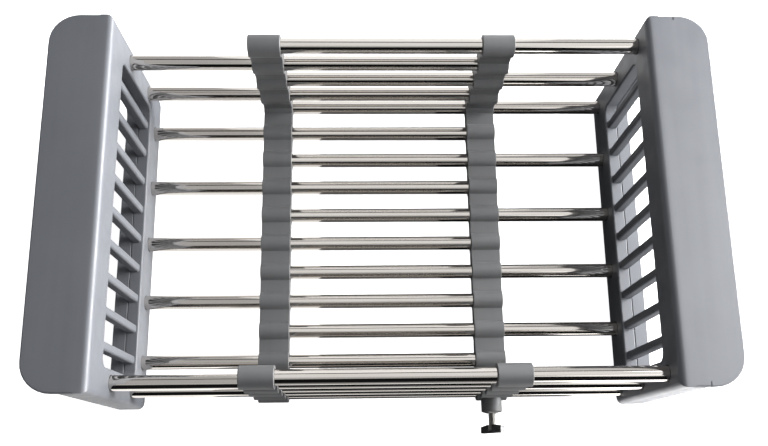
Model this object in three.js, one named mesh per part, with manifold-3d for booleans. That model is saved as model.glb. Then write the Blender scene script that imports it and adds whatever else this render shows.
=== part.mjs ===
// Expandable sink rack: a drain basket of steel tubes in two halves that telescope along X.
// Millimetres, +Z up. X runs along the tubes, and the lock screw is at the front, on the -Y side.
// Each half is one slatted end frame, a set of tubes and the spine that the far ends of its tubes
// are fixed in. The tubes of one half slide through the spine of the other.

import * as THREE from 'three';
import { mergeVertices } from 'three/addons/utils/BufferGeometryUtils.js';
import Module from 'manifold-3d';

// Tubes: a U of tubes, from the top of the back wall over the floor to the top of the front wall
const tubeDiameter = 9.5;
const tubeWall = 0.5;
const floorPitch = 21;
const floorGapCount = 10;
const wallPitch = 21;
const wallGapCount = 4;

// Fits
const slideClearance = 0.3;
const seatClearance = 0.25;
const partingGap = 0.3;

// Spines: a round boss on each tube, joined by thinner webs
const spineWidth = 20.5;
const bossWall = 2.25;
const webThickness = 7;
const socketFloor = 2.5;

// Extension, as photographed: the clear lengths of tube beside each spine
const spineToSpine = 127.5;
const spineToEnd = 79;

// End frames: material left around the outermost tubes, and the flange that hooks on the sink
const wallDepth = 8;
const baseCover = 7.75;
const sideCover = 5.25;
const topCover = 14;
const sillCover = 9.75;
const jambCover = 3.6;
const topBand = 23.25;
const flangeWidth = 38;
const flangeThickness = 3.2;
const flangeCorner = 18;
const flangeEdge = 1;
const frameEdge = 3.5;
const footRadius = 6;
const windowCorner = 6;
const windowChamfer = 1.2;
const slitWidth = 0.7;
const slitLength = 3.2;

// Slats: bars with a round nose, one in line with each inner floor tube
const slatWidth = 5.6;
const slatDepth = 6;
const slatSetback = 1.6;
const slatRoot = 1.5;

// End covers: hollow rings that close the frames and trap the tube ends
const coverDepth = 8.7;
const coverWall = 2;
const coverEdge = 1;
const tubeTail = 5;

// Lock screw: a boss on the right spine, a captive nut, the screw and its bar handle
const lockBossDiameter = 14;
const lockBossReach = 8;
const nutAcrossFlats = 8;
const nutThickness = 4;
const nutProud = 0.8;
const screwDiameter = 5;
const screwNeck = 7.6;
const handleLength = 19;
const handleWidth = 4.4;
const handleHub = 5.6;
const handleTip = 4.4;
const handleHubLength = 7;
const handleEdge = 0.5;
const handleGrip = 3.6;
const handleTilt = THREE.MathUtils.degToRad(-55);

// Smoothness: steps on half a tube, on half the screw, on a corner and on an edge
const roundSteps = 10;
const screwSteps = 6;
const cornerSteps = 2;
const edgeSteps = 3;

// Derived sizes
const tubeRadius = tubeDiameter / 2;
const bossRadius = tubeRadius + bossWall;
const halfDepth = floorGapCount * floorPitch / 2;
const halfFrame = halfDepth + tubeRadius + sideCover;
const frameBottom = -(tubeRadius + baseCover);
const frameTop = wallGapCount * wallPitch + tubeRadius + topCover;
const windowHalf = halfDepth - tubeRadius - jambCover;
const windowBottom = tubeRadius + sillCover;
const windowTop = frameTop - topBand;
const spineNear = spineToSpine / 2;
const spineMiddle = spineNear + spineWidth / 2;
const spineFar = spineNear + spineWidth;
const innerWall = spineFar + spineToEnd;
const seam = innerWall + wallDepth;
const coverFront = seam + partingGap;
const coverBack = coverFront + coverDepth;
const coverTop = frameTop - flangeThickness - partingGap;
const tubeInnerEnd = spineFar - socketFloor - seatClearance;
const tubeOuterEnd = seam + tubeTail;
const lockFace = halfDepth + bossRadius + lockBossReach;
const nutFace = lockFace + nutProud;
const screwTip = halfDepth + tubeRadius + slideClearance;
const handleFace = nutFace + screwNeck;
const frontReach = handleFace + handleHub;
const cutPast = wallDepth;

// Materials
const moulded = new THREE.MeshStandardMaterial({ color: 0x74777b, roughness: 0.5, metalness: 0 });
const spinePlastic = new THREE.MeshStandardMaterial({ color: 0x64676a, roughness: 0.55, metalness: 0 });
const steel = new THREE.MeshStandardMaterial({ color: 0xdcd8d0, roughness: 0.15, metalness: 1 });
const plated = new THREE.MeshStandardMaterial({ color: 0xb9bbbd, roughness: 0.25, metalness: 1 });
const blackPlastic = new THREE.MeshStandardMaterial({ color: 0x1d1d1f, roughness: 0.4, metalness: 0 });

const wasm = await Module();
wasm.setup();

// A closed geometry as a solid that can be joined and cut
function solid(geometry) {
  const bare = geometry.clone();
  bare.deleteAttribute('normal');
  bare.deleteAttribute('uv');
  const welded = mergeVertices(bare);
  const mesh = new wasm.Mesh({
    numProp: 3,
    vertProperties: new Float32Array(welded.attributes.position.array),
    triVerts: new Uint32Array(welded.index.array),
  });
  return new wasm.Manifold(mesh);
}

// The finished solid as a geometry
function geometryOf(body) {
  const mesh = body.getMesh();
  const geometry = new THREE.BufferGeometry();
  geometry.setAttribute('position', new THREE.BufferAttribute(mesh.vertProperties, 3));
  geometry.setIndex(new THREE.BufferAttribute(mesh.triVerts, 1));
  geometry.computeVertexNormals();
  return geometry;
}

function named(name, geometry, material) {
  const mesh = new THREE.Mesh(geometry, material);
  mesh.name = name;
  return mesh;
}

const unitX = new THREE.Vector3(1, 0, 0);
const unitY = new THREE.Vector3(0, 1, 0);
const unitZ = new THREE.Vector3(0, 0, 1);
const shapeToYZ = new THREE.Matrix4().makeBasis(unitY, unitZ, unitX);
const shapeToZX = new THREE.Matrix4().makeBasis(unitZ, unitX, unitY);

// A shape drawn in Y and Z, extruded along X
function alongX(shape, from, to, steps = cornerSteps) {
  const options = { depth: to - from, bevelEnabled: false, curveSegments: steps };
  const geometry = new THREE.ExtrudeGeometry(shape, options);
  return geometry.translate(0, 0, from).applyMatrix4(shapeToYZ);
}

// A shape drawn in Z and X, extruded along Y
function alongY(shape, from, to, steps = cornerSteps) {
  const options = { depth: to - from, bevelEnabled: false, curveSegments: steps };
  const geometry = new THREE.ExtrudeGeometry(shape, options);
  return geometry.translate(0, 0, from).applyMatrix4(shapeToZX);
}

// An extrusion with both ends rounded over, from 0 to its full depth
function roundedExtrusion(shape, depth, radius, steps = edgeSteps) {
  const geometry = new THREE.ExtrudeGeometry(shape, {
    depth: depth - 2 * radius,
    bevelThickness: radius,
    bevelSize: radius,
    bevelOffset: -radius,
    bevelSegments: steps,
    curveSegments: cornerSteps,
  });
  return geometry.translate(0, 0, radius);
}

function circle(u, v, radius) {
  const shape = new THREE.Shape();
  shape.absarc(u, v, radius, 0, 2 * Math.PI, false);
  return shape;
}

// Tube centres in Y and Z, from the top of the back wall to the top of the front wall
function tubeCentres() {
  const centres = [];
  for (let i = wallGapCount; i > 0; i -= 1) {
    centres.push(new THREE.Vector2(halfDepth, i * wallPitch));
  }
  for (let i = 0; i <= floorGapCount; i += 1) {
    centres.push(new THREE.Vector2(halfDepth - i * floorPitch, 0));
  }
  for (let i = 1; i <= wallGapCount; i += 1) {
    centres.push(new THREE.Vector2(-halfDepth, i * wallPitch));
  }
  return centres;
}

const centres = tubeCentres();
const rightCentres = centres.filter((centre, i) => i % 2 === 0);
const leftCentres = centres.filter((centre, i) => i % 2 === 1);

// One thin-walled tube that starts at X = 0
function tubeGeometry() {
  const section = circle(0, 0, tubeRadius);
  section.holes.push(circle(0, 0, tubeRadius - tubeWall));
  return alongX(section, 0, tubeInnerEnd + tubeOuterEnd, roundSteps);
}

// The scalloped outline of a spine: there and back along the row of tubes, with an arc on each boss
function spineOutline() {
  const shape = new THREE.Shape();
  const loop = [...centres, ...centres.slice(1, -1).reverse()];
  const webAngle = Math.asin(webThickness / 2 / bossRadius);
  const widestArc = 2 * Math.PI / 3;
  loop.forEach((centre, i) => {
    const before = loop.at(i - 1);
    const after = loop[(i + 1) % loop.length];
    const start = before.clone().sub(centre).angle() - webAngle;
    const end = after.clone().sub(centre).angle() + webAngle;
    const sweep = THREE.MathUtils.euclideanModulo(start - end, 2 * Math.PI);
    const arcs = Math.ceil(sweep / widestArc);
    for (let k = 0; k < arcs; k += 1) {
      const from = start - sweep * k / arcs;
      shape.absarc(centre.x, centre.y, bossRadius, from, from - sweep / arcs, true);
    }
  });
  return shape;
}

// A spine as on the right: tubes of its own half end in sockets, the others run through it
function spineGeometry(fixedCentres, slidingCentres, withLock) {
  let body = solid(alongX(spineOutline(), spineNear, spineFar, edgeSteps));
  if (withLock) {
    const boss = circle(0, spineMiddle, lockBossDiameter / 2);
    body = body.add(solid(alongY(boss, -lockFace, -halfDepth, roundSteps)));
  }
  for (const centre of fixedCentres) {
    const socket = circle(centre.x, centre.y, tubeRadius + seatClearance);
    body = body.subtract(solid(alongX(socket, spineNear - cutPast, spineFar - socketFloor, roundSteps)));
  }
  for (const centre of slidingCentres) {
    const bore = circle(centre.x, centre.y, tubeRadius + slideClearance);
    body = body.subtract(solid(alongX(bore, spineNear - cutPast, spineFar + cutPast, roundSteps)));
  }
  if (withLock) {
    const hole = circle(0, spineMiddle, screwDiameter / 2 + slideClearance);
    body = body.subtract(solid(alongY(hole, -lockFace - cutPast, -halfDepth, screwSteps)));
    const pocket = hexagon(0, spineMiddle, nutAcrossFlats + 2 * seatClearance);
    const pocketFloor = nutFace - nutThickness - seatClearance;
    body = body.subtract(solid(alongY(pocket, -lockFace - cutPast, -pocketFloor)));
  }
  return geometryOf(body);
}

function hexagon(u, v, acrossFlats) {
  const corner = acrossFlats / 2 / Math.cos(Math.PI / 6);
  const shape = new THREE.Shape();
  for (let i = 0; i < 6; i += 1) {
    const angle = i * Math.PI / 3;
    const point = [u + corner * Math.cos(angle), v + corner * Math.sin(angle)];
    if (i === 0) {
      shape.moveTo(...point);
    } else {
      shape.lineTo(...point);
    }
  }
  return shape;
}

// Outline of an end frame in Y and Z: square at the top, rounded at its feet
function frameOutline(top, inset = 0) {
  const half = halfFrame - inset;
  const bottom = frameBottom + inset;
  const radius = Math.max(footRadius - inset, inset);
  const shape = new THREE.Shape();
  shape.moveTo(half, top - inset);
  shape.lineTo(-half, top - inset);
  shape.absarc(-half + radius, bottom + radius, radius, Math.PI, 1.5 * Math.PI, false);
  shape.absarc(half - radius, bottom + radius, radius, 1.5 * Math.PI, 2 * Math.PI, false);
  return shape;
}

// Outline of the window in an end frame, or of a larger or smaller one round it
function windowOutline(grow = 0) {
  const half = windowHalf + grow;
  const bottom = windowBottom - grow;
  const top = windowTop + grow;
  const radius = windowCorner + grow;
  const shape = new THREE.Shape();
  shape.absarc(half - radius, top - radius, radius, 0, 0.5 * Math.PI, false);
  shape.absarc(-half + radius, top - radius, radius, 0.5 * Math.PI, Math.PI, false);
  shape.absarc(-half + radius, bottom + radius, radius, Math.PI, 1.5 * Math.PI, false);
  shape.absarc(half - radius, bottom + radius, radius, 1.5 * Math.PI, 2 * Math.PI, false);
  return shape;
}

// The upright wall of an end frame: rounded over on its inner side, cut flat at the seam
function wallBody() {
  const blankDepth = wallDepth + 2 * frameEdge;
  const blank = roundedExtrusion(frameOutline(frameTop), blankDepth, frameEdge);
  blank.applyMatrix4(shapeToYZ).translate(innerWall, 0, 0);
  const opening = alongX(windowOutline(), innerWall - cutPast, seam + cutPast);
  const mouth = roundedExtrusion(windowOutline(windowChamfer), 4 * windowChamfer, windowChamfer, 1);
  mouth.applyMatrix4(shapeToYZ).translate(innerWall - 3 * windowChamfer, 0, 0);
  const behind = endBlock(seam, blankDepth);
  return solid(blank).subtract(behind).subtract(solid(opening)).subtract(solid(mouth));
}

// A block over a whole end, from one plane of X outwards
function endBlock(from, depth) {
  const width = 2 * (halfFrame + cutPast);
  const height = frameTop - frameBottom + 2 * cutPast;
  const block = new THREE.BoxGeometry(depth, width, height);
  return solid(block.translate(from + depth / 2, 0, (frameTop + frameBottom) / 2));
}

// One upright slat: straight sides and a round nose towards the basket
function slatBody(y) {
  const nose = innerWall + slatSetback;
  const half = slatWidth / 2;
  const section = new THREE.Shape();
  section.moveTo(nose + slatDepth, y - half);
  section.lineTo(nose + slatDepth, y + half);
  section.absarc(nose + half, y, half, 0.5 * Math.PI, 1.5 * Math.PI, false);
  const length = windowTop - windowBottom + 2 * slatRoot;
  const options = { depth: length, bevelEnabled: false, curveSegments: edgeSteps };
  const bar = new THREE.ExtrudeGeometry(section, options);
  return solid(bar.translate(0, 0, windowBottom - slatRoot));
}

// The flange that hooks on the sink's edge: a plate with two large round corners
function flangeBody() {
  const inner = innerWall + frameEdge;
  const cornerX = innerWall + flangeWidth - flangeCorner;
  const cornerY = halfFrame - flangeCorner;
  const shape = new THREE.Shape();
  shape.moveTo(inner, halfFrame);
  shape.lineTo(inner, -halfFrame);
  shape.absarc(cornerX, -cornerY, flangeCorner, 1.5 * Math.PI, 2 * Math.PI, false);
  shape.absarc(cornerX, cornerY, flangeCorner, 0, 0.5 * Math.PI, false);
  const plate = new THREE.ExtrudeGeometry(shape, {
    depth: flangeThickness - 2 * flangeEdge,
    bevelThickness: flangeEdge,
    bevelSize: flangeEdge,
    bevelOffset: -flangeEdge,
    bevelSegments: cornerSteps,
    curveSegments: edgeSteps,
  });
  let body = solid(plate.translate(0, 0, frameTop - flangeThickness + flangeEdge));
  for (const side of [-1, 1]) {
    const slit = new THREE.BoxGeometry(slitWidth, 2 * slitLength, 3 * flangeThickness);
    body = body.subtract(solid(slit.translate(coverBack, side * halfFrame, frameTop)));
  }
  return body;
}

// A whole end frame as on the right: wall, flange, slats and the holes that the tubes are fixed in
function endFrameGeometry(fixedCentres) {
  let body = wallBody().add(flangeBody());
  for (let i = 1 - floorGapCount / 2; i < floorGapCount / 2; i += 1) {
    body = body.add(slatBody(i * floorPitch));
  }
  for (const centre of fixedCentres) {
    const socket = circle(centre.x, centre.y, tubeRadius + seatClearance);
    body = body.subtract(solid(alongX(socket, innerWall - cutPast, seam + cutPast, roundSteps)));
  }
  return geometryOf(body);
}

// The hollow ring behind an end frame, open towards the frame
function endCoverGeometry() {
  const spare = 2 * coverEdge;
  const blank = roundedExtrusion(frameOutline(coverTop), coverDepth + spare, coverEdge, cornerSteps);
  blank.applyMatrix4(shapeToYZ).translate(coverFront - spare, 0, 0);
  const opening = alongX(windowOutline(), coverFront - cutPast, coverBack + cutPast);
  const hollow = frameOutline(coverTop, coverWall);
  hollow.holes.push(windowOutline(coverWall));
  const pocket = alongX(hollow, coverFront - cutPast, coverBack - coverWall);
  const ahead = endBlock(coverFront - spare - cutPast, spare + cutPast);
  return geometryOf(solid(blank).subtract(ahead).subtract(solid(opening)).subtract(solid(pocket)));
}

function nutGeometry() {
  const section = hexagon(0, spineMiddle, nutAcrossFlats);
  section.holes.push(circle(0, spineMiddle, screwDiameter / 2 + slideClearance));
  return alongY(section, -nutFace, -nutFace + nutThickness, screwSteps);
}

function screwGeometry() {
  const section = circle(0, spineMiddle, screwDiameter / 2);
  return alongY(section, -handleFace - handleGrip, -screwTip, screwSteps);
}

// The bar handle: a hub on the screw with shoulders that fall to both tips
function handleGeometry() {
  const half = handleLength / 2;
  const hub = handleHubLength / 2;
  const shoulder = handleTip - handleHub;
  const profile = new THREE.Shape();
  profile.moveTo(-half, -handleHub);
  profile.lineTo(half, -handleHub);
  profile.lineTo(half, shoulder);
  profile.lineTo(hub, 0);
  profile.lineTo(-hub, 0);
  profile.lineTo(-half, shoulder);
  const bar = roundedExtrusion(profile, handleWidth, handleEdge, cornerSteps);
  bar.translate(0, 0, -handleWidth / 2);
  const grip = circle(0, 0, screwDiameter / 2 + seatClearance);
  const hole = alongY(grip, -handleGrip - seatClearance, cutPast, screwSteps);
  return geometryOf(solid(bar).subtract(solid(hole)));
}

function tubeSet(prefix, ownCentres, start) {
  return ownCentres.map((centre, i) => {
    const number = String(i + 1).padStart(2, '0');
    const tube = named(`${prefix}_tube_${number}`, tubeGeometry(), steel);
    tube.position.set(start, centre.x, centre.y);
    return tube;
  });
}

// Right half: its spine is the left one, turned about Z, which the right tubes end in
const rightHalf = new THREE.Group();
rightHalf.add(named('right_end_frame', endFrameGeometry(rightCentres), moulded));
rightHalf.add(named('right_end_cover', endCoverGeometry(), moulded));
rightHalf.add(...tubeSet('right', rightCentres, -tubeInnerEnd));
const leftSpine = named('left_spine', spineGeometry(rightCentres, leftCentres, false), spinePlastic);
leftSpine.rotation.z = Math.PI;
rightHalf.add(leftSpine);

// Left half: the same end turned about Z, the left tubes, and the right spine with the lock's boss
const leftHalf = new THREE.Group();
const leftEnd = new THREE.Group();
leftEnd.rotation.z = Math.PI;
leftEnd.add(named('left_end_frame', endFrameGeometry(leftCentres), moulded));
leftEnd.add(named('left_end_cover', endCoverGeometry(), moulded));
leftHalf.add(leftEnd);
leftHalf.add(...tubeSet('left', leftCentres, -tubeOuterEnd));
leftHalf.add(named('right_spine', spineGeometry(leftCentres, rightCentres, true), spinePlastic));
leftHalf.add(named('lock_nut', nutGeometry(), plated));

// Lock screw with its handle, turned as photographed
const lock = new THREE.Group();
lock.add(named('lock_screw', screwGeometry(), plated));
const handle = named('lock_handle', handleGeometry(), blackPlastic);
handle.position.set(spineMiddle, -handleFace, 0);
handle.rotation.y = handleTilt;
lock.add(handle);

// The rack stands on its feet, with the origin under the middle of its whole outline
const rack = new THREE.Group();
rack.name = 'expandable_sink_rack';
rack.add(rightHalf, leftHalf, lock);
rack.position.set(0, (frontReach - halfFrame) / 2, -frameBottom);

export default rack;
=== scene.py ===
import math

import bmesh
import bpy
from mathutils import Matrix, Vector
from mathutils.geometry import tessellate_polygon


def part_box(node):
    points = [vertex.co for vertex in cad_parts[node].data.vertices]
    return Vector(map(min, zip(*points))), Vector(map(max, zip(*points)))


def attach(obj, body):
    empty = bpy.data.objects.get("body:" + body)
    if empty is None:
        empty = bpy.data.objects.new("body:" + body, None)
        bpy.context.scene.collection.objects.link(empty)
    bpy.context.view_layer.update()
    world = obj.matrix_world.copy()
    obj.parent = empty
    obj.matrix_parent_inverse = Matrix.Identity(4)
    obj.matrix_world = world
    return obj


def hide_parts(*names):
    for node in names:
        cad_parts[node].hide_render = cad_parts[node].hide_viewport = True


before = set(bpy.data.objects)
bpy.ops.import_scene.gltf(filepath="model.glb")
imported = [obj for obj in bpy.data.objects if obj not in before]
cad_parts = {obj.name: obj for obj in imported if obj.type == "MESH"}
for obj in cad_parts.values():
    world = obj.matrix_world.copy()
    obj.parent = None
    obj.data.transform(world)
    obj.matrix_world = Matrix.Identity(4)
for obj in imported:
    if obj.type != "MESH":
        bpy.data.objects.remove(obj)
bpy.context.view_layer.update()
scene = bpy.context.scene

# All sizes are in metres. These are the ones that the CAD boxes don't give.

# Tubes and their bores
TUBE_WALL = 0.0005
TUBE_CHAMFER = TUBE_WALL / 4
SLIDE_GAP = 0.0003
SEAT_GAP = 0.00025
HOLE_RIM = 0.0003

# Spines
BOSS_WALL = 0.00225
WEB_HALF = 0.0035
WEB_FILLET = 0.0006
SPINE_RIM = 0.0004
SOCKET_FLOOR = 0.0025

# End frames
WALL_RIM = 0.0035
FOOT_RADIUS = 0.006
SILL_COVER = 0.00975
JAMB_COVER = 0.0036
TOP_BAND = 0.02325
WINDOW_CORNER = 0.006
WINDOW_RIM = 0.0012
SEAM_RIM = 0.0004
PARTING_GAP = 0.0003

# Flanges
FLANGE_THICK = 0.0032
FLANGE_CORNER = 0.018
FLANGE_RIM = 0.001
SLIT_WIDTH = 0.0007
SLIT_CORNER = SLIT_WIDTH / 2.1
SLIT_LENGTH = 0.0032

# Slats
SLAT_HALF = 0.0028
SLAT_DEPTH = 0.006
SLAT_SETBACK = 0.0016
SLAT_ROOT = 0.0015
SLAT_EDGE = 0.0016
SLAT_BACK_EDGE = 0.0004

# End covers
COVER_WALL = 0.002
COVER_RIM = 0.001
COVER_WINDOW_RIM = 0.0005

# Lock: its boss, nut, screw and handle
LOCK_BOSS_RADIUS = 0.007
LOCK_BOSS_REACH = 0.008
LOCK_BOSS_RIM = 0.0008
LOCK_BOSS_SEAT = 0.6 * BOSS_WALL
NUT_FLATS = 0.008
NUT_THICK = 0.004
NUT_PROUD = 0.0008
NUT_RIM = 0.0004
THREAD_PITCH = 0.0008
THREAD_DEPTH = 0.0004
SCREW_END = 1.5 * THREAD_DEPTH
HANDLE_LENGTH = 0.019
HANDLE_WIDTH = 0.0044
HANDLE_HUB = 0.0056
HANDLE_TIP = 0.0044
HANDLE_HUB_LENGTH = 0.007
HANDLE_GRIP = 0.0036
HANDLE_RIM = 0.0007
HANDLE_TILT = math.radians(-55)

# The thread's ridge in shares of its depth: its middle, which is cut flat at 1, and its fall in a pitch
THREAD_LIFT = 1.25
THREAD_SLOPE = 2.9

# How finely round forms are divided
ARC_STEPS = 8
RIM_STEPS = 5
ROUND_STEPS = 48
FILLET_STEPS = 4
BOSS_STEP_ANGLE = 0.16
THREAD_SIDES = 24
THREAD_RINGS_PER_TURN = 8

# What counts as sharp, and as the same point
SHARP_ANGLE = math.radians(35)
SHARP_CORNER = 0.00001
MERGE_DISTANCE = 1e-7

QUARTER_TURN = math.pi / 2
FULL_TURN = 2 * math.pi


# Mesh building

# Where a point of a flat outline lies when the depth runs along X, Y or Z

def along_x(u, v, w):
    return (w, u, v)


def along_y(u, v, w):
    return (u, w, v)


def along_z(u, v, w):
    return (u, v, w)


def laid(outline, depth, place):
    """The points of a flat outline at one depth."""
    return [place(u, v, depth) for u, v in outline]


class Shell:
    """Closed surfaces, built from rings of points."""

    def __init__(self):
        self.points = []
        self.faces = []

    def ring(self, points):
        first = len(self.points)
        self.points += [Vector(p) for p in points]
        return list(range(first, len(self.points)))

    def skin(self, rings):
        for a, b in zip(rings, rings[1:]):
            for i in range(len(a)):
                j = (i + 1) % len(a)
                self.faces.append((a[i], a[j], b[j], b[i]))

    def wall(self, outline, profile, place):
        """An outline carried along a profile of insets and depths; returns its rings."""
        rings = [self.ring(laid(outline(inset), depth, place)) for inset, depth in profile]
        self.skin(rings)
        return rings

    def cap(self, *loops):
        flat = [i for loop in loops for i in loop]
        for tri in tessellate_polygon([[self.points[i] for i in loop] for loop in loops]):
            self.faces.append(tuple(flat[k] for k in tri))

    def mesh(self, name):
        mesh = bpy.data.meshes.new(name)
        mesh.from_pydata(self.points, [], self.faces)
        tidy(mesh)
        return mesh


def tidy(mesh):
    """Merges points that coincide and turns all faces outward."""
    work = bmesh.new()
    work.from_mesh(mesh)
    bmesh.ops.remove_doubles(work, verts=work.verts, dist=MERGE_DISTANCE)
    bmesh.ops.recalc_face_normals(work, faces=work.faces)
    work.to_mesh(mesh)
    work.free()


def prism(name, sections):
    """A closed solid through sections of equal point counts, flat at both ends."""
    shell = Shell()
    rings = [shell.ring(points) for points in sections]
    shell.skin(rings)
    shell.cap(rings[0])
    shell.cap(rings[-1])
    return shell.mesh(name)


def bare_object(mesh):
    obj = bpy.data.objects.new(mesh.name, mesh)
    scene.collection.objects.link(obj)
    return obj


def combined(base, others, operation):
    """The mesh of base joined with, or cut by, the other meshes."""
    target = bare_object(base)
    helpers = []
    for other in others:
        helper = bare_object(other)
        helpers.append(helper)
        step = target.modifiers.new("step", "BOOLEAN")
        step.operation = operation
        step.solver = "EXACT"
        step.object = helper
    bpy.context.view_layer.update()
    result = target.evaluated_get(bpy.context.evaluated_depsgraph_get())
    mesh = bpy.data.meshes.new_from_object(result)
    for obj in [target, *helpers]:
        bpy.data.objects.remove(obj)
    return mesh


def joined(*meshes):
    """Several meshes as the shells of one mesh."""
    work = bmesh.new()
    for mesh in meshes:
        work.from_mesh(mesh)
    result = bpy.data.meshes.new(meshes[0].name)
    work.to_mesh(result)
    work.free()
    return result


def piece(name, mesh, body, slot, node):
    """A finished piece that rides on a body and stands for its CAD node."""
    mesh.name = name
    mesh.shade_smooth()
    mesh.set_sharp_from_angle(angle=SHARP_ANGLE)
    mesh.materials.clear()
    mesh.materials.append(materials[slot])
    obj = bare_object(mesh)
    obj.name = name
    normals = obj.modifiers.new("normals", "WEIGHTED_NORMAL")
    normals.keep_sharp = True
    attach(obj, body)
    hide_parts(node)


# Outlines and profiles

def arc(u, v, radius, start, end, steps):
    """Points on an arc, both ends included."""
    result = []
    for k in range(steps + 1):
        angle = start + (end - start) * k / steps
        result.append((u + radius * math.cos(angle), v + radius * math.sin(angle)))
    return result


def circle(u, v, radius, steps=ROUND_STEPS):
    return arc(u, v, radius, 0, FULL_TURN, steps)[:-1]


def hexagon(u, v, flats):
    corner = flats / 2 / math.cos(math.pi / 6)
    return circle(u, v, corner, 6)


def round_outline(u, v, radius=0):
    """A circle, as an outline that grows from its radius."""
    return lambda grow: circle(u, v, radius + grow)


def rounded_box(u0, v0, u1, v1, radii):
    """A rectangle with its own corner radius at right top, left top, left bottom and right bottom."""
    points = []
    corners = [(u1, v1, -1, -1), (u0, v1, 1, -1), (u0, v0, 1, 1), (u1, v0, -1, 1)]
    for k, (u, v, du, dv) in enumerate(corners):
        radius = max(radii[k], SHARP_CORNER)
        start = k * QUARTER_TURN
        points += arc(u + du * radius, v + dv * radius, radius, start, start + QUARTER_TURN, ARC_STEPS)
    return points


def edge_profile(near, far, near_rim, far_rim):
    """Inset and depth along the side of a plate with rounded edges."""
    way = 1 if far > near else -1
    profile = []
    for side, rim in ((0, near_rim), (1, far_rim)):
        steps = RIM_STEPS if rim > 0 else 0
        part = []
        for k in range(steps + 1):
            turn = QUARTER_TURN * (k / steps if steps else 1)
            inset = rim * (1 - math.sin(turn))
            depth = rim * (1 - math.cos(turn))
            part.append((inset, near + way * depth if side == 0 else far - way * depth))
        profile += part if side == 0 else part[::-1]
    return profile


def plate(name, outline, ends, rims, place, holes=()):
    """A plate with rounded edges. Each hole is (outline, end depth, near rim, far rim); an end depth
    short of the far side makes it blind."""
    near, far = ends
    shell = Shell()
    rings = shell.wall(outline, edge_profile(near, far, *rims), place)
    near_loops = [rings[0]]
    far_loops = [rings[-1]]
    for hole, end, *hole_rims in holes:
        sides = shell.wall(hole, edge_profile(near, end, *hole_rims), place)
        near_loops.append(sides[0])
        if end == far:
            far_loops.append(sides[-1])
        else:
            shell.cap(sides[-1])
    shell.cap(*near_loops)
    shell.cap(*far_loops)
    return shell.mesh(name)


# Materials

# Noise lies mostly between these two values
NOISE_LOW = 0.3
NOISE_HIGH = 0.7


class Nodes:
    """A node material with a Principled shader, on the coordinates of its own piece."""

    def __init__(self, name):
        self.material = bpy.data.materials.new(name)
        self.material.use_nodes = True
        self.tree = self.material.node_tree
        self.shader = self.tree.nodes["Principled BSDF"]
        self.place = self.tree.nodes.new("ShaderNodeTexCoord").outputs["Object"]

    def link(self, output, target):
        self.tree.links.new(output, target)

    def feed(self, socket, output):
        self.link(output, self.shader.inputs[socket])

    def set(self, **values):
        for key, value in values.items():
            self.shader.inputs[key.replace("_", " ")].default_value = value

    def noise(self, scale, detail=3.0, roughness=0.5, stretch=(1, 1, 1)):
        mapping = self.tree.nodes.new("ShaderNodeMapping")
        mapping.inputs["Scale"].default_value = stretch
        self.link(self.place, mapping.inputs["Vector"])
        node = self.tree.nodes.new("ShaderNodeTexNoise")
        node.inputs["Scale"].default_value = scale
        node.inputs["Detail"].default_value = detail
        node.inputs["Roughness"].default_value = roughness
        self.link(mapping.outputs["Vector"], node.inputs["Vector"])
        return node.outputs["Fac"]

    def ramp(self, value, first, last, start=NOISE_LOW, end=NOISE_HIGH):
        """A colour that goes from the first to the last as the value goes from start to end."""
        node = self.tree.nodes.new("ShaderNodeValToRGB")
        stops = ((start, first), (end, last))
        for element, (position, colour) in zip(node.color_ramp.elements, stops):
            element.position = position
            element.color = (*colour, 1)
        self.link(value, node.inputs["Fac"])
        return node.outputs["Color"]

    def spread(self, value, low, high):
        """A noise value mapped to the range from low to high."""
        node = self.tree.nodes.new("ShaderNodeMapRange")
        node.inputs["From Min"].default_value = NOISE_LOW
        node.inputs["From Max"].default_value = NOISE_HIGH
        node.inputs["To Min"].default_value = low
        node.inputs["To Max"].default_value = high
        self.link(value, node.inputs["Value"])
        return node.outputs["Result"]

    def mixed(self, factor, first, second):
        node = self.tree.nodes.new("ShaderNodeMix")
        node.data_type = "RGBA"
        self.link(factor, node.inputs["Factor"])
        self.link(first, node.inputs["A"])
        self.link(second, node.inputs["B"])
        return node.outputs["Result"]

    def bump(self, height, strength, distance, under=None):
        node = self.tree.nodes.new("ShaderNodeBump")
        node.inputs["Strength"].default_value = strength
        node.inputs["Distance"].default_value = distance
        self.link(height, node.inputs["Height"])
        if under is not None:
            self.link(under, node.inputs["Normal"])
        return node.outputs["Normal"]


def moulded_plastic(name, dark, light, warm, rough):
    """Satin moulded plastic: cloudy colour, faint flow streaks, a fine spark-eroded grain."""
    rough_play = 0.06
    nodes = Nodes(name)
    clouds = nodes.noise(scale=14, detail=5, roughness=0.6)
    streaks = nodes.noise(scale=30, detail=3, stretch=(6, 0.25, 1.2))
    base = nodes.ramp(clouds, dark, light)
    tinted = nodes.ramp(clouds, light, warm, start=0.25, end=0.8)
    nodes.feed("Base Color", nodes.mixed(nodes.spread(streaks, low=0.0, high=0.6), base, tinted))
    patches = nodes.noise(scale=90, detail=4)
    nodes.feed("Roughness", nodes.spread(patches, rough - rough_play, rough + rough_play))
    swell = nodes.bump(nodes.noise(scale=22, detail=1), strength=0.12, distance=0.0015)
    pits = nodes.noise(scale=2600, detail=2, roughness=0.7)
    nodes.feed("Normal", nodes.bump(pits, strength=0.12, distance=0.0002, under=swell))
    nodes.set(IOR=1.54)
    return nodes.material


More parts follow.
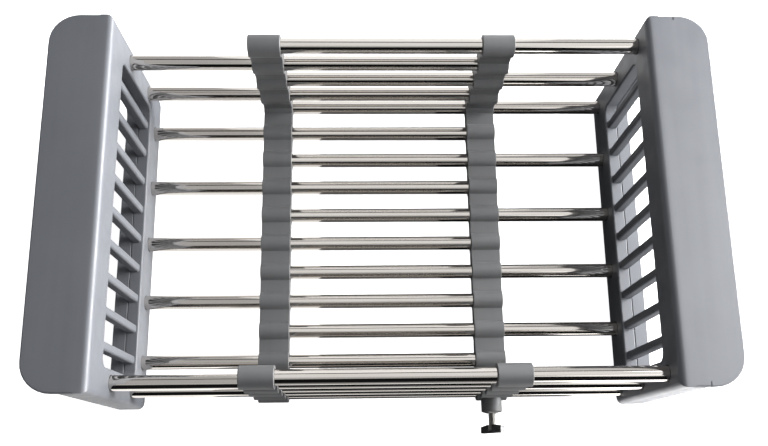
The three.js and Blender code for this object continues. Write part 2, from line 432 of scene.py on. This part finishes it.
def polished_tube(name):
    """Polished stainless steel, drawn along X, so its waves and fine lines run that way."""
    grey = (0.60, 0.565, 0.53)
    pale = (0.66, 0.635, 0.60)
    warm = (0.645, 0.615, 0.58)
    stained = (0.60, 0.565, 0.525)
    nodes = Nodes(name)
    drawn = nodes.noise(scale=60, detail=4, stretch=(0.12, 1, 1))
    stain = nodes.noise(scale=24, detail=4, roughness=0.6, stretch=(0.6, 1, 1))
    base = nodes.ramp(drawn, grey, pale)
    tint = nodes.ramp(stain, warm, stained, start=0.35, end=0.75)
    nodes.feed("Base Color", nodes.mixed(nodes.spread(stain, low=0.0, high=0.7), base, tint))
    nodes.feed("Roughness", nodes.spread(stain, low=0.05, high=0.11))
    waves = nodes.noise(scale=30, detail=1, stretch=(0.25, 1, 1))
    lines = nodes.noise(scale=900, detail=1, stretch=(0.008, 1, 1))
    wavy = nodes.bump(waves, strength=0.008, distance=0.001)
    nodes.feed("Normal", nodes.bump(lines, strength=0.005, distance=0.00005, under=wavy))
    nodes.set(Metallic=1.0)
    return nodes.material


def plated_steel(name):
    """Dull plating, patchy in colour and gloss."""
    dull = (0.24, 0.235, 0.23)
    bright = (0.48, 0.475, 0.46)
    nodes = Nodes(name)
    patina = nodes.noise(scale=160, detail=5, roughness=0.65)
    pits = nodes.noise(scale=1200, detail=3)
    nodes.feed("Base Color", nodes.ramp(patina, dull, bright))
    nodes.feed("Roughness", nodes.spread(patina, low=0.22, high=0.4))
    nodes.feed("Normal", nodes.bump(pits, strength=0.1, distance=0.0001))
    nodes.set(Metallic=1.0)
    return nodes.material


def gloss_plastic(name):
    """Black plastic, slightly smudged."""
    black = (0.012, 0.012, 0.013)
    worn = (0.03, 0.03, 0.032)
    nodes = Nodes(name)
    smudge = nodes.noise(scale=120, detail=4)
    pits = nodes.noise(scale=1800, detail=2)
    nodes.feed("Base Color", nodes.ramp(smudge, black, worn))
    nodes.feed("Roughness", nodes.spread(smudge, low=0.22, high=0.38))
    nodes.feed("Normal", nodes.bump(pits, strength=0.08, distance=0.0001))
    nodes.set(IOR=1.5)
    return nodes.material


def floor_paper(name):
    """White paper that glows, so that it shows as plain white."""
    grey = (0.9, 0.9, 0.9)
    white = (0.93, 0.93, 0.93)
    nodes = Nodes(name)
    nodes.feed("Base Color", nodes.ramp(nodes.noise(scale=3), grey, white))
    nodes.set(Roughness=0.9, Emission_Color=(1, 1, 1, 1), Emission_Strength=0.93)
    return nodes.material


materials = {
    "frame_plastic": moulded_plastic(
        "frame_plastic",
        dark=(0.090, 0.095, 0.107),
        light=(0.108, 0.114, 0.128),
        warm=(0.112, 0.116, 0.125),
        rough=0.48,
    ),
    "spine_plastic": moulded_plastic(
        "spine_plastic",
        dark=(0.083, 0.085, 0.088),
        light=(0.101, 0.103, 0.107),
        warm=(0.101, 0.103, 0.103),
        rough=0.52,
    ),
    "tube_steel": polished_tube("tube_steel"),
    "lock_metal": plated_steel("lock_metal"),
    "handle_plastic": gloss_plastic("handle_plastic"),
}


# Tubes

def tube_names(side):
    return sorted(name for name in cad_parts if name.startswith(f"{side}_tube_"))


def tube_axis(node):
    """The middle of a tube, its radius and its two ends along X."""
    lo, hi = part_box(node)
    return (lo + hi) / 2, (hi.z - lo.z) / 2, lo.x, hi.x


def tube_mesh(centre, radius, start, end):
    """An open tube with chamfered ends."""
    inside = radius - TUBE_WALL
    lip = radius - TUBE_CHAMFER
    profile = [
        (inside, start), (lip, start), (radius, start + TUBE_CHAMFER),
        (radius, end - TUBE_CHAMFER), (lip, end), (inside, end),
        (inside, start),
    ]
    shell = Shell()
    shell.wall(round_outline(centre.y, centre.z), profile, along_x)
    return shell.mesh("tube")


right_names = tube_names("right")
left_names = tube_names("left")
for names, body in ((right_names, "right_half"), (left_names, "left_half")):
    for name in names:
        piece(f"{name}_polished", tube_mesh(*tube_axis(name)), body, "tube_steel", name)

right_centres = [tube_axis(name)[0] for name in right_names]
left_centres = [tube_axis(name)[0] for name in left_names]
tube_radius = tube_axis(right_names[0])[1]

# All tube centres as (Y, Z), down the back, along the floor and up the front
in_turn = [right_centres[0]]
for left, right in zip(left_centres, right_centres[1:]):
    in_turn += [left, right]
row = [Vector((c.y, c.z)) for c in in_turn]
floor_z = min(z for y, z in row)
front_y = min(y for y, z in row)
back_y = max(y for y, z in row)
middle_y = (front_y + back_y) / 2


def faces(node):
    """The side of the rack that a node is on, and its faces towards the middle and away from it."""
    lo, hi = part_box(node)
    if lo.x > 0:
        return 1, lo.x, hi.x
    return -1, hi.x, lo.x


def tube_hole(c, gap, end, end_rim):
    """A hole for a tube, with a gap round it, down to an end depth."""
    return round_outline(c.y, c.z, tube_radius + gap), end, HOLE_RIM, end_rim


# Spines

def heading(v):
    return math.atan2(v.y, v.x)


def fillet(centre, radius, start, end):
    """The hollow curve beside a boss, anticlockwise between two directions."""
    first = heading(start)
    sweep = (heading(end) - first) % FULL_TURN
    return arc(centre.x, centre.y, radius, first, first + sweep, FILLET_STEPS)


def boss_round(centre, radius, start, end):
    """The outside of a boss, clockwise between two directions."""
    first = heading(start)
    sweep = (first - heading(end)) % FULL_TURN
    steps = max(FILLET_STEPS, round(sweep / BOSS_STEP_ANGLE))
    return arc(centre.x, centre.y, radius, first, first - sweep, steps)


def scallops(inset):
    """The outline of a spine, there and back along the row of tubes, with fillets beside each boss."""
    loop = row + row[-2:0:-1]
    boss = tube_radius + BOSS_WALL
    aside = WEB_HALF + WEB_FILLET
    ahead = math.sqrt((boss + WEB_FILLET) ** 2 - aside ** 2)
    hollow = WEB_FILLET + inset
    points = []
    for i, c in enumerate(loop):
        ways = []
        for other, turn in ((loop[i - 1], -1), (loop[(i + 1) % len(loop)], 1)):
            along = (other - c).normalized()
            across = Vector((-along.y, along.x)) * turn
            ways.append((c + along * ahead + across * aside, across))
        (before, before_side), (after, after_side) = ways
        points += fillet(before, hollow, -before_side, c - before)
        points += boss_round(c, boss - inset, before - c, after - c)
        points += fillet(after, hollow, c - after, -after_side)
    return points


def spine_mesh(node, fixed, sliding):
    """A spine with blind sockets for its own tubes and through-bores for the others."""
    side, near, far = faces(node)
    socket_end = far - side * SOCKET_FLOOR
    holes = [tube_hole(c, SEAT_GAP, socket_end, 0) for c in fixed]
    holes += [tube_hole(c, SLIDE_GAP, far, HOLE_RIM) for c in sliding]
    return plate("spine", scallops, (near, far), (SPINE_RIM, SPINE_RIM), along_x, holes)


screw_lo, screw_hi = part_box("lock_screw")
screw_radius = (screw_hi.x - screw_lo.x) / 2
lock_x = (screw_lo.x + screw_hi.x) / 2


def lock_boss():
    """The boss of the lock screw: it sits on the corner boss of the spine and ends in a hex pocket."""
    seat = tube_radius + LOCK_BOSS_SEAT
    face = front_y - tube_radius - BOSS_WALL - LOCK_BOSS_REACH
    pocket_floor = face - NUT_PROUD + NUT_THICK + SEAT_GAP
    pocket = hexagon(lock_x, floor_z, NUT_FLATS + 2 * SEAT_GAP)
    shell = Shell()
    saddle = []
    for x, z in circle(lock_x, floor_z, LOCK_BOSS_RADIUS):
        drop = math.sqrt(max(seat ** 2 - (z - floor_z) ** 2, 0))
        saddle.append((x, front_y - drop, z))
    rings = [shell.ring(saddle)]
    for inset, y in edge_profile(front_y, face, 0, LOCK_BOSS_RIM)[1:]:
        rings.append(shell.ring(laid(circle(lock_x, floor_z, LOCK_BOSS_RADIUS - inset), y, along_y)))
    shell.skin(rings)
    mouth, bottom = [shell.ring(laid(pocket, y, along_y)) for y in (face, pocket_floor)]
    shell.skin([mouth, bottom])
    shell.cap(rings[-1], mouth)
    shell.cap(bottom)
    shell.cap(rings[0])
    return shell.mesh("lock_boss")


left_spine = spine_mesh("left_spine", right_centres, left_centres)
piece("left_spine_moulded", left_spine, "right_half", "spine_plastic", "left_spine")
right_spine = joined(spine_mesh("right_spine", left_centres, right_centres), lock_boss())
piece("right_spine_moulded", right_spine, "left_half", "spine_plastic", "right_spine")


# End frames and covers

window_front = front_y + tube_radius + JAMB_COVER
window_back = back_y - tube_radius - JAMB_COVER
window_bottom = floor_z + tube_radius + SILL_COVER
window_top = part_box("right_end_frame")[1].z - TOP_BAND


def window(grow):
    """The window's outline, the same in both ends."""
    radii = (WINDOW_CORNER + grow,) * 4
    return rounded_box(
        window_front - grow, window_bottom - grow, window_back + grow, window_top + grow, radii)


def body_outline(lo, hi, top):
    """The outside of an end frame or its cover, seen along the tubes."""
    def outline(inset):
        foot = max(FOOT_RADIUS - inset, inset)
        return rounded_box(lo.y + inset, lo.z + inset, hi.y - inset, top - inset, (0, 0, foot, foot))
    return outline


def slit_mesh(x, edge, top):
    """What a short slit takes out of the edge of the flange."""
    half = SLIT_WIDTH / 2
    box = rounded_box(x - half, edge - SLIT_LENGTH, x + half, edge + SLIT_LENGTH, (SLIT_CORNER,) * 4)
    return prism("slit", [laid(box, z, along_z) for z in (top - 2 * FLANGE_THICK, top + FLANGE_THICK)])


def flange_mesh(node, slit_x):
    """The flange of an end frame; the right one has a slit in its front and back edges."""
    lo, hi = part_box(node)
    side, inner, outer = faces(node)
    start, end = sorted((inner + side * (WALL_RIM + FLANGE_RIM), outer))

    def outline(inset):
        corner = FLANGE_CORNER - inset
        radii = (corner, 0, 0, corner) if side > 0 else (0, corner, corner, 0)
        return rounded_box(start + inset, lo.y + inset, end - inset, hi.y - inset, radii)

    flange = plate("flange", outline, (hi.z - FLANGE_THICK, hi.z), (FLANGE_RIM, FLANGE_RIM), along_z)
    slit_edges = (lo.y, hi.y) if side > 0 else ()
    slits = [slit_mesh(slit_x, edge, hi.z) for edge in slit_edges]
    return combined(flange, slits, "DIFFERENCE")


def slat_places():
    """A slat stands over each tube of the floor, apart from the two at the corners."""
    on_floor = [y for y, z in row if z - floor_z < tube_radius]
    return [y for y in on_floor if front_y + tube_radius < y < back_y - tube_radius]


def slat_mesh(y, side, inner):
    """An upright slat with a flat nose between two rounded edges."""
    nose = inner + side * SLAT_SETBACK
    back = nose + side * SLAT_DEPTH
    bevel = back - side * SLAT_BACK_EDGE
    flat = SLAT_HALF - SLAT_EDGE
    section = []
    for along, turn in ((flat, QUARTER_TURN), (-flat, 2 * QUARTER_TURN)):
        for u, v in arc(0, 0, SLAT_EDGE, turn, turn + QUARTER_TURN, RIM_STEPS):
            section.append((nose + side * (SLAT_EDGE + u), y + along + v))
    section += [(bevel, y - SLAT_HALF), (back, y - SLAT_HALF + SLAT_BACK_EDGE)]
    section += [(back, y + SLAT_HALF - SLAT_BACK_EDGE), (bevel, y + SLAT_HALF)]
    ends = (window_bottom - SLAT_ROOT, window_top + SLAT_ROOT)
    return prism("slat", [laid(section, z, along_z) for z in ends])


def end_frame(prefix, centres):
    """The wall with its window and tube sockets, the flange on top and the slats in the window."""
    node = f"{prefix}_end_frame"
    lo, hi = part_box(node)
    side, inner, _ = faces(node)
    _, cover_front, cover_back = faces(f"{prefix}_end_cover")
    seam = cover_front - side * PARTING_GAP
    holes = [(window, seam, WINDOW_RIM, SEAM_RIM)]
    holes += [tube_hole(c, SEAT_GAP, seam, 0) for c in centres]
    wall = plate("wall", body_outline(lo, hi, hi.z), (inner, seam), (WALL_RIM, 0), along_x, holes)
    hooked = combined(wall, [flange_mesh(node, cover_back)], "UNION")
    slats = [slat_mesh(y, side, inner) for y in slat_places()]
    piece(f"{node}_moulded", joined(hooked, *slats), f"{prefix}_half", "frame_plastic", node)


def end_cover(prefix):
    """The ring that closes an end frame from outside, hollow between its outer and inner walls."""
    node = f"{prefix}_end_cover"
    lo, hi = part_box(f"{prefix}_end_frame")
    side, front, back = faces(node)
    outside = body_outline(lo, hi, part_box(node)[1].z)
    pocket = [(COVER_WALL, front), (COVER_WALL, back - side * COVER_WALL)]
    shell = Shell()
    outer_rings = shell.wall(outside, edge_profile(front, back, 0, COVER_RIM), along_x)
    window_rings = shell.wall(window, edge_profile(front, back, SEAM_RIM, COVER_WINDOW_RIM), along_x)
    pocket_outer = shell.wall(outside, pocket, along_x)
    pocket_inner = shell.wall(window, pocket, along_x)
    shell.cap(outer_rings[-1], window_rings[-1])
    shell.cap(pocket_outer[-1], pocket_inner[-1])
    shell.cap(outer_rings[0], pocket_outer[0])
    shell.cap(pocket_inner[0], window_rings[0])
    piece(f"{node}_moulded", shell.mesh("cover"), f"{prefix}_half", "frame_plastic", node)


for prefix, centres in (("right", right_centres), ("left", left_centres)):
    end_frame(prefix, centres)
    end_cover(prefix)


# Lock screw

def lock_nut():
    """The nut in the hex pocket of the lock's boss."""
    lo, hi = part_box("lock_nut")

    def outline(inset):
        return hexagon(lock_x, floor_z, NUT_FLATS - 2 * inset)

    holes = [(round_outline(lock_x, floor_z, screw_radius + SLIDE_GAP), hi.y, HOLE_RIM, HOLE_RIM)]
    nut = plate("nut", outline, (lo.y, hi.y), (NUT_RIM, NUT_RIM), along_y, holes)
    piece("lock_nut_plated", nut, "left_half", "lock_metal", "lock_nut")


def thread_radius(rise, share):
    """The screw's radius at a height above its end and a share of a turn round it."""
    phase = (rise / THREAD_PITCH - share) % 1
    crest = min(1, max(0, THREAD_LIFT - THREAD_SLOPE * abs(phase - 0.5)))
    return screw_radius - THREAD_DEPTH * (1 - crest)


def lock_screw():
    """A threaded rod, drawn in at both ends."""
    length = screw_hi.y - screw_lo.y
    count = round(length / THREAD_PITCH * THREAD_RINGS_PER_TURN)
    sections = []
    for k in range(count + 1):
        rise = length * k / count
        points = []
        for j in range(THREAD_SIDES):
            share = j / THREAD_SIDES
            angle = FULL_TURN * share
            radius = screw_radius - SCREW_END if k in (0, count) else thread_radius(rise, share)
            x = lock_x + radius * math.cos(angle)
            z = floor_z + radius * math.sin(angle)
            points.append((x, screw_lo.y + rise, z))
        sections.append(points)
    piece("lock_screw_threaded", prism("screw", sections), "lock_screw", "lock_metal", "lock_screw")


def lock_handle():
    """A flat-sided bar, thickest at its hub, with a blind hole for the screw."""
    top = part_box("lock_handle")[1].y
    half = HANDLE_LENGTH / 2
    hub = HANDLE_HUB_LENGTH / 2
    shoulder = HANDLE_TIP - HANDLE_HUB
    slope = math.atan2(-shoulder, half - hub)
    turn = Matrix.Rotation(HANDLE_TILT, 3, "Y")
    middle = Vector((lock_x, top, floor_z))

    def outline(inset):
        lean = inset * math.tan((QUARTER_TURN - slope) / 2)
        rise = inset * math.tan(slope / 2)
        return [
            (-half + inset, -HANDLE_HUB + inset), (half - inset, -HANDLE_HUB + inset),
            (half - inset, shoulder - lean), (hub - rise, -inset),
            (-hub + rise, -inset), (-half + inset, shoulder - lean),
        ]

    def tilted(u, v, w):
        return middle + turn @ Vector((u, v, w))

    sides = (-HANDLE_WIDTH / 2, HANDLE_WIDTH / 2)
    bar = plate("bar", outline, sides, (HANDLE_RIM, HANDLE_RIM), tilted)
    hole = screw_radius + SEAT_GAP
    hole_ends = (top - HANDLE_GRIP - SEAT_GAP, top + hole)
    grip = prism("grip", [laid(circle(lock_x, floor_z, hole), y, along_y) for y in hole_ends])
    handle = combined(bar, [grip], "DIFFERENCE")
    piece("lock_handle_bar", handle, "lock_handle", "handle_plastic", "lock_handle")


lock_nut()
lock_screw()
lock_handle()


# Camera, from a fit of the photograph's lines

PHOTO_WIDTH = 768
PHOTO_HEIGHT = 446
AXIS_ROW = 300
SENSOR_WIDTH_MM = 36
LENS_MM = 35.91
CAMERA_PLACE = (-0.01275, -0.14905, 0.53555)
CAMERA_TURN_DEGREES = (12.655, -1.415, -0.75)


def add_camera():
    """The shift stands for the photograph's crop: the lens looks at a row below its middle."""
    data = bpy.data.cameras.new("camera")
    data.sensor_width = SENSOR_WIDTH_MM
    data.lens = LENS_MM
    data.shift_y = (AXIS_ROW - PHOTO_HEIGHT / 2) / PHOTO_WIDTH
    camera = bpy.data.objects.new("camera", data)
    camera.location = CAMERA_PLACE
    camera.rotation_euler = [math.radians(angle) for angle in CAMERA_TURN_DEGREES]
    scene.collection.objects.link(camera)
    scene.camera = camera


add_camera()


# Stage and light

FLOOR_DROP = 0.0005
COVE_START = 12.0
COVE_RADIUS = 14.0
AIR_COLOUR = (0.9, 0.95, 1, 1)
AIR_STRENGTH = 0.01
LAMP_TARGET = Vector((0, 0, 0.06))

FACING_DOWN = (0, 0, 0)
FACING_UP = (math.pi, 0, 0)
FACING_FRONT = (QUARTER_TURN, 0, math.pi)

# Panels: name, place, width and length, brightness of the face
OVERHEAD = [
    ("over_left", (-0.40, 0.095, 0.96), (0.40, 0.85), 0.57),
    ("over_middle", (0.01, 0.095, 0.96), (0.42, 0.85), 1.06),
    ("over_right", (0.46, 0.095, 0.96), (0.48, 0.85), 1.13),
    ("over_front", (0.05, -0.545, 0.96), (1.30, 0.40), 0.62),
]
BACKDROP = [
    ("back_left", (-0.575, 0.9, 0.55), (0.65, 1.10), 0.56),
    ("back_middle", (0.025, 0.9, 0.55), (0.55, 1.10), 1.33),
    ("back_right", (0.60, 0.9, 0.55), (0.60, 1.10), 0.80),
]
# These lie under the floor and stand for the light that white paper throws back
BOUNCE = [
    ("bounce_back", (0.05, 0.67, -0.01), (1.50, 1.06), 1.26),
    ("bounce_front", (-0.05, -0.58, -0.01), (0.60, 0.66), 0.33),
    ("corner_left", (-0.27, -0.26, -0.01), (0.30, 0.30), 1.46),
    ("corner_right", (0.42, -0.30, -0.01), (0.56, 0.38), 3.70),
    ("front_strip", (0.00, -0.20, -0.01), (0.28, 0.08), 1.20),
    ("under_left", (-0.105, middle_y, -0.008), (0.12, 0.20), 1.15),
    ("under_middle", (0.00, middle_y, -0.008), (0.09, 0.20), 0.14),
    ("bounce_right", (0.77, 0.05, -0.20), (0.85, 1.10), 2.80),
]
LAMPS = [
    ("fill_right", (0.50, -0.42, 0.80), (0.50, 0.35), 0.90),
    ("key_low", (0.93, 0.28, 0.235), (0.80, 0.36), 57.0),
    ("key_top", (0.80, 0.05, 0.55), (0.50, 0.30), 17.0),
    ("key_back", (0.58, 0.15, 0.767), (0.35, 0.30), 3.0),
    ("key_front", (0.69, -0.58, 0.107), (0.40, 0.15), 14.0),
]


def floor():
    """White paper that runs level far out and then sweeps up, as in a photo studio."""
    sweep = arc(COVE_START, COVE_RADIUS - FLOOR_DROP, COVE_RADIUS, -QUARTER_TURN, 0, ARC_STEPS)
    shell = Shell()
    rings = shell.wall(round_outline(0, 0), sweep, along_z)
    shell.faces.append(tuple(rings[0]))
    obj = bare_object(shell.mesh("floor"))
    obj.data.materials.append(floor_paper("floor_paper"))
    obj.visible_glossy = False
    obj.visible_diffuse = False
    obj.visible_shadow = False


def surroundings():
    """A faint light from all sides."""
    world = bpy.data.worlds.new("studio")
    scene.world = world
    world.use_nodes = True
    background = world.node_tree.nodes["Background"]
    background.inputs["Color"].default_value = AIR_COLOUR
    background.inputs["Strength"].default_value = AIR_STRENGTH


def aimed(place):
    """The turn of a lamp that looks at the part."""
    return (LAMP_TARGET - Vector(place)).to_track_quat("-Z", "Y").to_euler()


def panel(name, place, size, brightness, turn=None):
    """A soft studio panel, given by the brightness of its face; without a turn it looks at the part."""
    width, length = size
    data = bpy.data.lights.new(name, "AREA")
    data.shape = "RECTANGLE"
    data.size = width
    data.size_y = length
    data.energy = brightness * math.pi * width * length
    obj = bpy.data.objects.new(name, data)
    obj.location = place
    obj.rotation_euler = aimed(place) if turn is None else turn
    scene.collection.objects.link(obj)


floor()
surroundings()
light_groups = (
    (OVERHEAD, FACING_DOWN),
    (BACKDROP, FACING_FRONT),
    (BOUNCE, FACING_UP),
    (LAMPS, None),
)
for panels, turn in light_groups:
    for values in panels:
        panel(*values, turn)

scene.view_settings.view_transform = "Standard"
scene.view_settings.look = "None"
